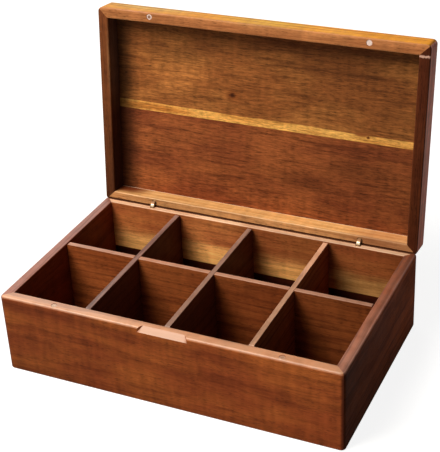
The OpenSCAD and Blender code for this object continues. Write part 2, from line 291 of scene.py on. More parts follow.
farAway = 1000          # further than any board reaches, in millimetres
cornerShadeFade = 3           # the painted shade of corners fades out over so many millimetres


# Where hands and sanding have worn the level edges and the rim. On the front rim's rounding the pale
# edge also stands for a painted highlight. The normal is the piece's own. The top share paints the
# up-facing rim paler, as sanded wood and painted sheen. Upright rounded corners get painted shade
# up to a height, so that holes in the rim stay clear of it
def makeEdgeWear():
    tree, enter, leave = openGroup("edgeWear", [
        ("Vector", "Vector", None), ("Normal", "Vector", None), ("Edges", "Float", 0.6),
        ("Top", "Float", 0.0), ("Shade Ends At", "Float", farAway)],
        [("Mask", "Float"), ("Rubbed", "Float"), ("Corner Shade", "Float"), ("Slanted", "Float")])
    split = axes(tree, calcVector(tree, "ABSOLUTE", enter["Normal"]))
    flat = calc(tree, "MAXIMUM", calc(tree, "MAXIMUM", split["X"], split["Y"]), split["Z"])
    rounded = span(tree, flat, "rounded")
    level = calc(tree, "MULTIPLY", span(tree, split["Z"], "level"), span(tree, split["X"], "sideways"))
    edge = calc(tree, "MULTIPLY", rounded, level)
    tree.links.new(edge, leave["Slanted"])
    patches = evenNoise(tree, enter["Vector"], "patches")
    worn = calc(tree, "MULTIPLY", edge, span(tree, patches, "wornPatch"))
    up = axes(tree, enter["Normal"])["Z"]
    patchy = calc(tree, "MULTIPLY", span(tree, up, "topFace"), span(tree, patches, "topPatch"))
    total = calc(tree, "MULTIPLY_ADD", patchy, enter["Top"], calc(tree, "MULTIPLY", worn, enter["Edges"]))
    tree.links.new(calc(tree, "MINIMUM", total, 1.0), leave["Mask"])
    rubbed = calc(tree, "MULTIPLY", span(tree, up, "upward"), span(tree, patches, "rubbedPatch"))
    tree.links.new(rubbed, leave["Rubbed"])
    height = axes(tree, enter["Vector"])["Y"]
    full = calc(tree, "SUBTRACT", enter["Shade Ends At"], cornerShadeFade)
    below = ramp(tree, height, enter["Shade Ends At"], full)
    corner = calc(tree, "MULTIPLY", rounded, span(tree, split["Z"], "upright"))
    tree.links.new(calc(tree, "MULTIPLY", corner, below), leave["Corner Shade"])
    return layOut(tree)


middleTone = 0.4        # grain tone that leaves worn wood as its colour says


# Tone of worn wood, in which the grain's lines still show
def makeWornTone():
    tree, enter, leave = openGroup("wornTone", [
        ("Color", "Color", (0.6, 0.3, 0.15, 1)), ("Tone", "Float", 0.4), ("Lined", "Float", 0.7)],
        [("Color", "Color")])
    away = calc(tree, "SUBTRACT", middleTone, enter["Tone"])
    level = calc(tree, "MULTIPLY_ADD", away, enter["Lined"], 1.0)
    tree.links.new(multiplied(tree, enter["Color"], grey(tree, level)), leave["Color"])
    return layOut(tree)


# Painted sheen that grows or fades along the rubbed rim, by a share for each metre
def makeRimSheen():
    tree, enter, leave = openGroup("rimSheenDrift", [
        ("Color", "Color", (0.6, 0.3, 0.15, 1)), ("Along", "Float", 0.0), ("Drift", "Float", 0.0),
        ("Rubbed", "Float", 0.0)], [("Color", "Color")])
    drift = calc(tree, "MULTIPLY", calc(tree, "MULTIPLY", enter["Along"], mm), enter["Drift"])
    level = calc(tree, "MULTIPLY_ADD", drift, enter["Rubbed"], 1.0)
    tree.links.new(multiplied(tree, enter["Color"], grey(tree, level)), leave["Color"])
    return layOut(tree)


# A lighter, darker or tinted area that keeps the grain, with a gain for red, green and blue
def makeTint():
    tree, enter, leave = openGroup("tint", [
        ("Color", "Color", (0.6, 0.3, 0.15, 1)), ("Mask", "Float", 0.0), ("Gain", "Vector", None)],
        [("Color", "Color")])
    level = calcVector(tree, "MULTIPLY_ADD", enter["Mask"], enter["Gain"], (1, 1, 1))
    tree.links.new(multiplied(tree, enter["Color"], level), leave["Color"])
    return layOut(tree)


blotNoise = {"Scale": 0.5, "Detail": 3.0}
blotBend = (2.4, 2.0, 0.0)      # how far a blot's outline strays along, across and through, in millimetres


# Knots and nicks, and larger areas, among them painted shadows and highlights: an oval with a ragged
# outline round a point on the face
def makeRaggedOval():
    tree, enter, leave = openGroup("raggedOval", [
        ("Vector", "Vector", None), ("Place", "Vector", None), ("Size", "Vector", (4, 2, 20)),
        ("Depth", "Float", 0.7)], [("Mask", "Float")])
    ragged = put(tree, "TexNoise", {"Vector": enter["Vector"], **blotNoise}).outputs["Color"]
    stray = calcVector(tree, "SUBTRACT", ragged, (noiseMiddle, noiseMiddle, noiseMiddle))
    away = calcVector(tree, "SUBTRACT", enter["Vector"], enter["Place"])
    bent = calcVector(tree, "ADD", away, calcVector(tree, "MULTIPLY", stray, blotBend))
    reach = lengthOf(tree, calcVector(tree, "DIVIDE", bent, enter["Size"]))
    tree.links.new(calc(tree, "MULTIPLY", span(tree, reach, "blot"), enter["Depth"]), leave["Mask"])
    return layOut(tree)


# Thin pale line along the grain at a joint
def makePaleLine():
    tree, enter, leave = openGroup("paleLine", [
        ("Vector", "Vector", None), ("Place", "Float", 0.0), ("Width", "Float", 0.4)], [("Mask", "Float")])
    across = axes(tree, enter["Vector"])["Y"]
    away = calc(tree, "ABSOLUTE", calc(tree, "SUBTRACT", across, enter["Place"]))
    broken = span(tree, grainNoise(tree, enter["Vector"], "broken"), "broken")
    share = calc(tree, "DIVIDE", away, enter["Width"])
    tree.links.new(calc(tree, "MULTIPLY", span(tree, share, "thinLine"), broken), leave["Mask"])
    return layOut(tree)


seamWaver = 0.3         # how far the seam's shade strays, in millimetres


# Painted shade along the edge where box and lid meet at the turning axis, standing for the shadow in
# the gap. It begins through the thickness, and is kept to the rim by two heights
def makeSeamShade():
    tree, enter, leave = openGroup("seamShade", [
        ("Vector", "Vector", None), ("Start", "Float", 0.0), ("Width", "Float", 0.6),
        ("Clear", "Float", 0.0), ("Full", "Float", 1.0)], [("Mask", "Float")])
    split = axes(tree, enter["Vector"])
    past = calc(tree, "SUBTRACT", enter["Start"], split["Z"])
    ragged = swing(tree, evenNoise(tree, enter["Vector"], "ragged"))
    share = calc(tree, "DIVIDE", calc(tree, "MULTIPLY_ADD", ragged, seamWaver, past), enter["Width"])
    rim = ramp(tree, split["Y"], enter["Clear"], enter["Full"])
    tree.links.new(calc(tree, "MULTIPLY", span(tree, share, "seam"), rim), leave["Mask"])
    return layOut(tree)


# Shares of the two noises and of the grain's tone in the roughness, and the span of their sum
finishParts = {"rub": 0.5, "cloud": 0.5, "tone": 0.3, "low": 0.35, "high": 0.85}


# Unevenness of a rubbed satin finish: roughness that changes from place to place, and a faint ripple
def makeFinish():
    tree, enter, leave = openGroup("satinFinish", [
        ("Vector", "Vector", None), ("Tone", "Float", 0.5), ("Smooth", "Float", 0.36),
        ("Dull", "Float", 0.56)], [("Roughness", "Float"), ("Height", "Float")])
    cloud = calc(tree, "MULTIPLY", evenNoise(tree, enter["Vector"], "cloud"), finishParts["cloud"])
    mixed = calc(tree, "MULTIPLY_ADD", grainNoise(tree, enter["Vector"], "rub"), finishParts["rub"], cloud)
    mixed = calc(tree, "MULTIPLY_ADD", enter["Tone"], finishParts["tone"], mixed)
    spread = put(tree, "MapRange", {
        "Value": mixed, "From Min": finishParts["low"], "From Max": finishParts["high"],
        "To Min": enter["Smooth"], "To Max": enter["Dull"]})
    tree.links.new(spread.outputs["Result"], leave["Roughness"])
    tree.links.new(evenNoise(tree, enter["Vector"], "ripple"), leave["Height"])
    return layOut(tree)


grainGroup = makeGrain()
sapwoodGroup = makeSapwood()
edgeWearGroup = makeEdgeWear()
wornToneGroup = makeWornTone()
rimSheenGroup = makeRimSheen()
tintGroup = makeTint()
raggedOvalGroup = makeRaggedOval()
seamShadeGroup = makeSeamShade()
paleLineGroup = makePaleLine()
finishGroup = makeFinish()
print("wood groups ready")

# How a board lies: which way its grain, its face and its thickness run, as rows
alongWidth = Matrix(((1, 0, 0), (0, 0, 1), (0, -1, 0)))     # fronts and backs
alongDepth = Matrix(((0, 1, 0), (0, 0, 1), (1, 0, 0)))      # sides
lyingFlat = Matrix(((1, 0, 0), (0, 1, 0), (0, 0, 1)))       # bottom and lid boards
faceDepth = 4           # a mark this deep, in millimetres, stays on one face
faceStep = 1            # and one that begins through the thickness fades in over so many
rimHoles = 67           # height above which the box's corners get no painted shade
seamWidth = 0.5         # the seam's shade fades in over so many millimetres

# What a board's look holds. Lengths are in millimetres, the rest are shares and web colours
# heart, along: the log's centre across the face and through the thickness, and along the grain
# drift: how much brighter the board gets in a metre. rimSheenDrift: the same for a painted sheen on
# the rubbed rim
# wear, sandedAndSheen, cornerShade: pale worn edges, on the front rim's rounding also a painted
# highlight; a pale rim that is sanded wood and painted sheen; painted shade on upright corners
# lined: grain in the worn wood
# wax, polish: shine of the rim and of sapwood. facet: middle, half length and end of a fresh cut
# paleLine, lineDepth: height of a pale line at a joint, and how far to the rear it shows
# seamShade, seamShadeReach: how far to the rear the painted shade of the seam begins, and the
# heights at which it is clear and full
# blemishesAndPaintedLight: knots and nicks, and painted shadows and highlights: place, length,
# width, share and, where it isn't the knot's, a colour
# shades: place, length, width, gain or the gains of red, green and blue, and the place through
# the thickness of a face that the shade stays on. Some are painted shade and painted light
plainBoard = {
    "along": 0, "ringWidth": 6.0, "rings": 0.5, "streaks": 0.45, "fibres": 1.1, "pores": 0.4,
    "waver": 12.0, "flame": 0.5, "curl": 0.5, "drift": 0.0, "wear": 0.5, "sandedAndSheen": 0.0, "cornerShade": 0.4,
    "lined": 0.7, "worn": "#c98a5a", "smooth": 0.38, "dull": 0.58, "gloss": 0.1, "wax": 0.0,
    "polish": 0.0, "blemishesAndPaintedLight": [], "shades": []}
plainSapwood = {"fade": 3.0, "wander": 3.0, "slope": 0.0}
poreLoss = -0.7         # sapwood shows fewer pores
woodSkin = {"grain": 0.4, "grainDepth": 0.14, "ripple": 0.25, "rippleDepth": 0.15, "coatRoughness": 0.4}


def openMaterial(name):
    material = bpy.data.materials.new(name)
    material.use_nodes = True
    material.node_tree.nodes.clear()
    return material, material.node_tree


# Ends a material at its output, and puts it on a mesh in place of any other
def closeMaterial(material, surface, mesh):
    out = put(material.node_tree, "OutputMaterial", {"Surface": surface})
    out.name = "Material Output"
    layOut(material.node_tree)
    mesh.materials.clear()
    mesh.materials.append(material)


# The wood's three colours, pores and polish, changed where there is sapwood, and on the lid's side
# rails where the band paints shade and sheen
def addSapwood(tree, look, vector, heart, colors):
    sap = {**plainSapwood, **look["sapwoodAndPaintedLight"]}
    mask = useGroup(tree, sapwoodGroup, {
        "Vector": vector, "Glue Line": sap["glueLine"] - heart.y, "Edge": sap["edge"] - heart.y,
        "Fade": sap["fade"], "Wander": sap["wander"], "Slope": sap["slope"]})["Mask"]
    if "skinFrom" in sap:       # pale only beyond this place through the thickness
        skin = sap["skinFrom"] - heart.z
        mask = calc(tree, "MULTIPLY", mask, ramp(tree, axes(tree, vector)["Z"], skin, skin + faceStep))
    for key in colors:
        colors[key] = mixColor(tree, mask, colors[key], paint(sap[key]))
    pores = calc(tree, "MULTIPLY_ADD", mask, poreLoss * look["pores"], look["pores"])
    return pores, calc(tree, "MULTIPLY", mask, look["polish"])


# Puts a look's blemishes, painted light, shades, pale line and the seam's painted shade on the colour
def addMarks(tree, look, vector, heart, color):
    for x, y, long, wide, depth, *own in look["blemishesAndPaintedLight"]:
        mark = useGroup(tree, raggedOvalGroup, {
            "Vector": vector, "Place": Vector((x, y, 0)) - heart, "Size": (long, wide, farAway),
            "Depth": depth})["Mask"]
        color = mixColor(tree, mark, color, paint(own[0] if own else look["knot"]))
    for x, y, long, wide, gain, *face in look["shades"]:
        height, thick = (face[0], faceDepth) if face else (0, farAway)
        area = useGroup(tree, raggedOvalGroup, {
            "Vector": vector, "Place": Vector((x, y, height)) - heart, "Size": (long, wide, thick),
            "Depth": 1.0})["Mask"]
        gains = gain if isinstance(gain, tuple) else (gain, gain, gain)
        color = useGroup(tree, tintGroup, {"Color": color, "Mask": area, "Gain": gains})["Color"]
    if "paleLine" in look:
        line = useGroup(tree, paleLineGroup, {"Vector": vector, "Place": look["paleLine"] - heart.y})["Mask"]
        inside = -look["lineDepth"] - heart.z
        deep = ramp(tree, axes(tree, vector)["Z"], inside, inside + faceStep)
        line = calc(tree, "MULTIPLY", line, deep)
        color = mixColor(tree, line, color, paint(look["glue"]))
    if "seamShade" in look:
        clear, full = look["seamShadeReach"]
        line = useGroup(tree, seamShadeGroup, {
            "Vector": vector, "Start": -look["seamShade"] - heart.z, "Width": seamWidth,
            "Clear": clear - heart.y, "Full": full - heart.y})["Mask"]
        color = mixColor(tree, line, color, paint(look["shade"]))
    return color


# Material of one board: the look is the piece's dictionary, and lies is one of the three ways above
def dressBoard(name, look, lies, onLid=False):
    look = {**plainBoard, **look}
    material, tree = openMaterial(name + "Wood")
    place = put(tree, "TexCoord").outputs
    shut = Matrix.Rotation(lidOpen if onLid else 0, 3, "X")     # from the open lid's places to the shut one's
    start = lies @ (lidPivot - shut @ lidPivot)
    heart = Vector((look["along"], *look["heart"]))
    vector = put(tree, "Mapping", {
        "Vector": place["Object"], "Scale": (perMetre, perMetre, perMetre),
        "Rotation": (lies @ shut).to_euler("XYZ"), "Location": start * perMetre - heart}).outputs["Vector"]
    normal = put(tree, "Mapping", {"Vector": place["Normal"], "Rotation": shut.to_euler("XYZ")},
                 vector_type="VECTOR").outputs["Vector"]

    colors = {key: paint(look[key]) for key in ("base", "light", "dark")}
    pores, polish = look["pores"], look["polish"]
    if "sapwoodAndPaintedLight" in look:
        pores, polish = addSapwood(tree, look, vector, heart, colors)
    grain = useGroup(tree, grainGroup, {
        "Vector": vector, "Base": colors["base"], "Light": colors["light"], "Dark": colors["dark"],
        "Ring Width": look["ringWidth"], "Rings": look["rings"], "Streaks": look["streaks"],
        "Fibres": look["fibres"], "Pores": pores, "Waver": look["waver"], "Flame": look["flame"],
        "Curl": look["curl"], "Drift": look["drift"] * mm})
    wear = useGroup(tree, edgeWearGroup, {
        "Vector": vector, "Normal": normal, "Edges": look["wear"], "Top": look["sandedAndSheen"],
        "Shade Ends At": farAway if onLid else rimHoles - heart.y})
    # painted shade on the rounded upright corners, in the wood's dark colour
    cornerShading = calc(tree, "MULTIPLY", wear["Corner Shade"], look["cornerShade"])
    color = mixColor(tree, cornerShading, grain["Color"], paint(look["dark"]))
    lines = {"Tone": grain["Tone"], "Lined": look["lined"]}
    worn = useGroup(tree, wornToneGroup, {"Color": paint(look["worn"]), **lines})["Color"]
    color = mixColor(tree, wear["Mask"], color, worn)
    # painted sheen along the rubbed rim
    if "rimSheenDrift" in look:
        color = useGroup(tree, rimSheenGroup, {
            "Color": color, "Along": calc(tree, "ADD", axes(tree, vector)["X"], heart.x),
            "Drift": look["rimSheenDrift"], "Rubbed": wear["Rubbed"]})["Color"]
    if "facet" in look:
        middle, half, end = look["facet"]
        away = calc(tree, "ABSOLUTE", calc(tree, "ADD", axes(tree, vector)["X"], heart.x - middle))
        cut = calc(tree, "MULTIPLY", wear["Slanted"], ramp(tree, away, half + end, half))
        fresh = useGroup(tree, wornToneGroup, {"Color": paint(look["fresh"]), **lines})["Color"]
        color = mixColor(tree, cut, color, fresh)
    color = addMarks(tree, look, vector, heart, color)

    finish = useGroup(tree, finishGroup, {
        "Vector": vector, "Tone": grain["Tone"], "Smooth": look["smooth"], "Dull": look["dull"]})
    relief = put(tree, "Bump", {"Height": grain["Height"], "Strength": woodSkin["grain"],
                                "Distance": woodSkin["grainDepth"] * mm})
    skin = put(tree, "Bump", {"Height": finish["Height"], "Strength": woodSkin["ripple"],
                              "Distance": woodSkin["rippleDepth"] * mm, "Normal": relief.outputs["Normal"]})
    shader = put(tree, "BsdfPrincipled", {
        "Base Color": color, "Roughness": finish["Roughness"], "Normal": skin.outputs["Normal"],
        "Specular IOR Level": look["gloss"],
        "Coat Weight": calc(tree, "MULTIPLY_ADD", wear["Rubbed"], look["wax"], polish),
        "Coat Roughness": woodSkin["coatRoughness"]})
    closeMaterial(material, shader.outputs["BSDF"], nodes[name].data)


# Faces of the shut lid, in millimetres
lidRim = 70.1           # height of the rim
panelInside = 86.1      # height of the boards' inner face
frontOutside = 88.5     # outer face of the front rail, through its thickness
leftInside = -136       # inner face of the left rail, through its thickness

# Box walls
# the corner shade paints shade on the upright corners; the rim's paleness is partly painted sheen
frontWall = {
    "base": "#8f4420", "light": "#b0602a", "dark": "#5a2410", "heart": (22, 30), "along": 40,
    "ringWidth": 9.0, "rings": 0.35, "streaks": 0.4, "flame": 0.75, "curl": 0.8, "drift": 1.2,
    "wear": 0.28, "sandedAndSheen": 0.5, "worn": "#e0ad86", "wax": 0.7, "cornerShade": 0.7, "rimSheenDrift": -0.9,
    "facet": (0, 17.5, 3.5), "fresh": "#c89b80"}       # the notch: middle, half its foot, slanted end
dressBoard("front_wall", frontWall, alongWidth)

# the seam's shade is painted shade at the hinge; the rim's paleness is partly painted sheen
rearWallUpper = {
    "base": "#a8592f", "light": "#c2763c", "dark": "#673016", "heart": (90, -20), "along": -60,
    "ringWidth": 6.0, "rings": 0.4, "drift": -2.2, "wear": 0.4, "sandedAndSheen": 0.9, "worn": "#dab08c",
    "wax": 0.6, "seamShade": boxSeam, "seamShadeReach": (67, 69.4), "shade": "#4c240e",
    "rimSheenDrift": -0.8,
    "shades": [(-34, 54, 40, 28, (0.42, 0.6, 0.66)), (34, 34, 44, 15, 0.55), (-32, 34, 38, 15, 0.5),
               (106, 58, 34, 22, 0.2)],
    "sapwoodAndPaintedLight": {"base": "#e2a25a", "light": "#f0b66c", "dark": "#b0713a",
                "glueLine": 25, "edge": 41, "fade": 17.0, "wander": 12.0}}
dressBoard("rear_wall_upper", rearWallUpper, alongWidth)

rearWallLower = {
    "base": "#3b160a", "light": "#50200f", "dark": "#250c05", "heart": (-30, -20), "along": 90,
    "ringWidth": 5.0, "rings": 0.5, "wear": 0.3}
dressBoard("rear_wall_lower", rearWallLower, alongWidth)

leftWall = {
    "base": "#7f3c1d", "light": "#985026", "dark": "#50210f", "heart": (30, -180), "along": 15,
    "ringWidth": 6.0, "rings": 0.4, "wear": 0.5, "sandedAndSheen": 0.35, "worn": "#a3827a", "wax": 0.25,
    "rimSheenDrift": -0.6}
dressBoard("left_wall", leftWall, alongDepth)

# drift paints light that grows towards the back; the rim's sheen drift mostly takes it off the rim
rightWall = {
    "base": "#843a11", "light": "#a04e1c", "dark": "#4c1d08", "heart": (50, 100), "along": 0,
    "ringWidth": 6.0, "rings": 0.6, "streaks": 0.6, "drift": 8.0, "wear": 0.5, "sandedAndSheen": 0.4,
    "worn": "#b0806c", "rimSheenDrift": -7.2, "wax": 0.6, "gloss": 0.03}
dressBoard("right_wall", rightWall, alongDepth)

bottomPanel = {
    "base": "#582611", "light": "#70371a", "dark": "#381409", "heart": (20, -70), "along": 10,
    "ringWidth": 8.0, "rings": 0.5, "wear": 0.2}
dressBoard("bottom_panel", bottomPanel, lyingFlat)
print("box walls and bottom done")

# Dividers: thin boards with sanded top edges; their paleness and drift are partly painted sheen
longDivider = {
    "base": "#87431f", "light": "#a2592b", "dark": "#532410", "heart": (-40, 30), "along": 0,
    "ringWidth": 5.0, "rings": 0.4, "drift": -1.9, "wear": 0.5, "sandedAndSheen": 0.7, "worn": "#c0937a",
    "wax": 0.25, "rimSheenDrift": -0.4,
    "shades": [(-105, 69.6, 50, 2.5, -0.2), (110, 69.6, 50, 2.5, -0.16)]}
dressBoard("long_divider", longDivider, alongWidth)

leftCrossDivider = {
    "base": "#5f3421", "light": "#75452b", "dark": "#3b1b10", "heart": (-30, -140), "along": -140,
    "ringWidth": 5.0, "rings": 0.45, "wear": 0.4, "sandedAndSheen": 0.5, "worn": "#a48176", "wax": 0.3,
    "rimSheenDrift": 3.0}
dressBoard("cross_divider_left", leftCrossDivider, alongDepth)

middleCrossDivider = {
    **leftCrossDivider, "heart": (100, 40), "along": 40, "sandedAndSheen": 0.55, "worn": "#ad8a78", "wax": 0.32,
    "rimSheenDrift": 1.8}
dressBoard("cross_divider_middle", middleCrossDivider, alongDepth)

rightCrossDivider = {
    **leftCrossDivider, "base": "#7e4725", "light": "#985d31", "heart": (-60, 110), "along": 0,
    "drift": 3.0, "sandedAndSheen": 0.7, "worn": "#e4b08e", "wax": 0.32, "rimSheenDrift": 1.0}
dressBoard("cross_divider_right", rightCrossDivider, alongDepth)
print("dividers done")

# Lid rails, with a second colour from just above the rim: sapwood on the front and rear rails, painted
# shade on the left rail and painted sheen on the right; and the two glued boards of the lid's panel
lidFrontRail = {
    "base": "#b27042", "light": "#c8864f", "dark": "#743c1c", "heart": (60, 60), "along": 30,
    "ringWidth": 5.0, "rings": 0.5, "drift": 0.5, "wear": 0.3, "worn": "#d89c68", "gloss": 0.05,
    "blemishesAndPaintedLight": [(20, lidRim, 24, 1.2, 0.2, "#6e3018")],
    "shades": [(-104, 92, 66, 26, (-0.16, 0.14, 2.4), frontOutside),
               (0, 84, 60, 22, (-0.08, 0.14, 0.16), frontOutside)],
    "sapwoodAndPaintedLight": {"base": "#da8e22", "light": "#eaa636", "dark": "#a05a18",
                "glueLine": 120, "edge": 71.4, "fade": 1.2, "wander": 2.0}}
dressBoard("lid_front_rail", lidFrontRail, alongWidth, onLid=True)

# the dark blemish at the left end paints the left rail's shadow; the seam's shade is painted shade
lidRearRail = {
    "base": "#bd8552", "light": "#d29a64", "dark": "#865028", "heart": (110, -60), "along": 0,
    "ringWidth": 5.0, "rings": 0.4, "drift": 1.0, "wear": 0.5, "worn": "#efc592",
    "seamShade": lidSeam, "seamShadeReach": (73, 70.7), "shade": "#3c1c0a",
    "shades": [(120, lidRim, 48, 3, -0.3), (0, lidRim, 110, 3, 0.14), (-125, lidRim, 44, 3, 0.3)],
    "blemishesAndPaintedLight": [(-130, 84, 34, 17, 1.0, "#703418"), (118, 78, 46, 34, 0.42, "#b46440")],
    "paleLine": 85.9, "lineDepth": 83, "glue": "#f3d9b8",
    "sapwoodAndPaintedLight": {"base": "#e8ae6c", "light": "#f4c284", "dark": "#c07a36",
                "glueLine": 120, "edge": 71.4, "fade": 1.2, "wander": 1.0}}
dressBoard("lid_rear_rail", lidRearRail, alongWidth, onLid=True)

# the dark band above the rim, kept as sapwood, paints the shade on the rail's inner face
lidLeftRail = {
    "base": "#5e3118", "light": "#754120", "dark": "#3b1a0c", "heart": (60, -100), "along": 0,
    "ringWidth": 5.0, "rings": 0.45, "drift": -3.5, "wear": 0.35, "worn": "#94603c",
    "shades": [(-40, 78, 56, 12, (1.0, 2.2, 3.4), leftInside)],
    "sapwoodAndPaintedLight": {"base": "#3e2317", "light": "#4e2d1d", "dark": "#2a160f",
                "glueLine": 120, "edge": 71.6, "fade": 1.2, "wander": 1.0}}
dressBoard("lid_left_rail", lidLeftRail, alongDepth, onLid=True)

# outer face: its pale band and the lighter shade paint a sheen; the small blemish paints a highlight
lidRightRail = {
    "base": "#4a2110", "light": "#5e2f17", "dark": "#2d1209", "heart": (60, 110), "along": 10,
    "ringWidth": 5.0, "rings": 0.45, "wear": 0.3, "worn": "#7c4a30", "polish": 0.55, "cornerShade": 0.0,
    "blemishesAndPaintedLight": [(-79, lidRim, 1.4, 2, 0.85, "#d8a890")], "gloss": 0.05,
    "shades": [(-40, 80, 50, 40, (0.14, 0.16, 0.22))],
    "sapwoodAndPaintedLight": {"base": "#ec7e60", "light": "#f89672", "dark": "#aa503a", "skinFrom": 141.5,
                "glueLine": 89.4, "edge": 71.6, "fade": 1.2, "wander": 1.0}}
dressBoard("lid_right_rail", lidRightRail, alongDepth, onLid=True)

# shades: the left one paints the left rail's shadow, the dark ones near the front rail its shade
lidFrontBoard = {
    "base": "#874e25", "light": "#a86a34", "dark": "#4b260f", "heart": (-40, 30), "along": -20,
    "ringWidth": 12.0, "rings": 0.35, "streaks": 0.5, "flame": 0.85, "drift": -1.2, "wear": 0.1,
    "fibres": 2.7, "pores": 0.3, "curl": 0.7, "knot": "#2e1207",
    "blemishesAndPaintedLight": [(-27, -20.6, 9, 5.5, 0.5, "#743714"), (-27, -21, 4.2, 3.2, 0.9),
                  (88, -2.8, 9, 2.8, 0.9, "#8a4e26"), (94, -1.2, 2.2, 1.8, 0.95, "#5a2410")],
    "shades": [(-77, -31, 54, 18, 0.25), (-138, -30, 26, 300, -0.75, panelInside),
               (-80, -60, 60, 30, -0.25), (-10, -30, 56, 20, 0.14), (60, -60, 100, 24, -0.22, panelInside),
               (-30, -66, 60, 12, -0.15), (-106, -0.5, 60, 5, (-0.4, -0.55, -0.62))],
    "sapwoodAndPaintedLight": {"base": "#e6a24e", "light": "#f0b45c", "dark": "#bd752f",
                "glueLine": 3.6, "edge": -3.6, "fade": 1.2, "wander": 3.0, "slope": 0.006}}
dressBoard("lid_front_board", lidFrontBoard, lyingFlat, onLid=True)

# the shade along the left edge paints the left rail's shadow on the panel
lidRearBoard = {
    "base": "#763b1f", "light": "#935129", "dark": "#431c0c", "heart": (40, 20), "along": 70,
    "ringWidth": 12.0, "rings": 0.35, "streaks": 0.5, "flame": 0.8, "drift": -1.4, "wear": 0.1,
    "fibres": 2.5, "pores": 0.3, "curl": 0.7,
    "shades": [(38, 46, 40, 13, -0.3), (86, 30, 44, 14, -0.28), (-138, 40, 26, 300, -0.75, panelInside)]}
dressBoard("lid_rear_board", lidRearBoard, lyingFlat, onLid=True)
print("lid done")

# Shares of a turned part's marks in its roughness and relief. The painted highlight's height and the
# depth are in millimetres
turning = {"lineDetail": 3.0, "lineRoughness": 0.6, "paintedHighlightAt": 2.1, "satin": 0.16, "lineDull": 0.2,
           "ageDull": 0.35, "scratchHeight": 0.4, "depth": 0.02}


# Turning marks round a metal part's own axis, with small scratches and dulled patches. The core
# darkens the middle, and outside a band the part is aged, so that the band shows as a painted highlight
def makeTurned():
    tree, enter, leave = openGroup("turnedMetal", [
        ("Vector", "Vector", None), ("Clean", "Color", (0.8, 0.6, 0.3, 1)),
        ("Aged", "Color", (0.4, 0.25, 0.1, 1)), ("Lines", "Float", 12.0), ("Ageing", "Float", 0.5),
        ("Core", "Float", 0.0), ("Painted Highlight", "Float", 0.0)],
        [("Color", "Color"), ("Roughness", "Float"), ("Height", "Float")])
    vector = enter["Vector"]
    radius = lengthOf(tree, calcVector(tree, "MULTIPLY", vector, (1, 1, 0)))
    lines = noiseOnLine(tree, calc(tree, "MULTIPLY", radius, enter["Lines"]),
                        turning["lineDetail"], turning["lineRoughness"])
    offHighlight = calc(tree, "ABSOLUTE", calc(tree, "SUBTRACT", axes(tree, vector)["Y"], turning["paintedHighlightAt"]))
    aged = calc(tree, "MULTIPLY", span(tree, evenNoise(tree, vector, "dulled"), "dulled"), enter["Ageing"])
    aged = calc(tree, "MAXIMUM", aged, calc(tree, "MULTIPLY", span(tree, radius, "core"), enter["Core"]))
    aged = calc(tree, "MAXIMUM", aged, calc(tree, "MULTIPLY", span(tree, offHighlight, "paintedHighlight"), enter["Painted Highlight"]))
    tree.links.new(mixColor(tree, aged, enter["Clean"], enter["Aged"]), leave["Color"])
    rough = calc(tree, "MULTIPLY_ADD", lines, turning["lineDull"], turning["satin"])
    tree.links.new(calc(tree, "MULTIPLY_ADD", aged, turning["ageDull"], rough), leave["Roughness"])
    scratch = grainNoise(tree, vector, "scratch")
    tree.links.new(calc(tree, "MULTIPLY_ADD", scratch, turning["scratchHeight"], lines), leave["Height"])
    return layOut(tree)


turnedGroup = makeTurned()
plainMetal = {"core": 0.0, "paintedHighlight": 0.0, "metallic": 1.0}


# Material of one metal part: its axis runs through the centre, and the spin turns it upright
def dressMetal(name, look, centre, spin):
    look = {**plainMetal, **look}
    material, tree = openMaterial(name + "Metal")
    vector = put(tree, "Mapping", {
        "Vector": put(tree, "TexCoord").outputs["Object"], "Scale": (perMetre, perMetre, perMetre),
        "Rotation": spin.to_euler("XYZ"), "Location": -(spin @ centre) * perMetre}).outputs["Vector"]
    marks = useGroup(tree, turnedGroup, {
        "Vector": vector, "Clean": paint(look["clean"]), "Aged": paint(look["aged"]),
        "Lines": look["lines"], "Ageing": look["ageing"], "Core": look["core"], "Painted Highlight": look["paintedHighlight"]})
    relief = put(tree, "Bump", {"Height": marks["Height"], "Strength": look["relief"],
                                "Distance": turning["depth"] * mm})
    shader = put(tree, "BsdfPrincipled", {
        "Base Color": marks["Color"], "Roughness": marks["Roughness"], "Metallic": look["metallic"],
        "Normal": relief.outputs["Normal"]})
    closeMaterial(material, shader.outputs["BSDF"], nodes[name].data)


# the hinge link: its clean band is a painted highlight, the rest is aged brass
brass = {"clean": "#eedcb6", "aged": "#a07450", "lines": 14.0, "ageing": 0.2, "relief": 0.3,
         "metallic": 0.4, "paintedHighlight": 1.0}
oldBrass = {"clean": "#96703c", "aged": "#6a4420", "lines": 10.0, "ageing": 0.7, "relief": 0.4,
            "metallic": 0.5}
steel = {"clean": "#b9b6b0", "aged": "#77726a", "lines": 10.0, "ageing": 0.4, "relief": 0.3}
nickel = {"clean": "#fbe0d2", "aged": "#d0b0a0", "lines": 6.0, "ageing": 0.4, "relief": 0.3,
          "metallic": 0.2}
ringed = {**nickel, "aged": "#7c4a28", "core": 0.9}
lacquered = {"clean": "#a88468", "aged": "#8f6c4c", "lines": 6.0, "ageing": 0.6, "relief": 0.5,
             "metallic": 0.2}
# right box magnet: its dark middle paints the shade of its recess
lacqueredShadedCentre = {**lacquered, "clean": "#cca084", "aged": "#96684a", "core": 0.7}

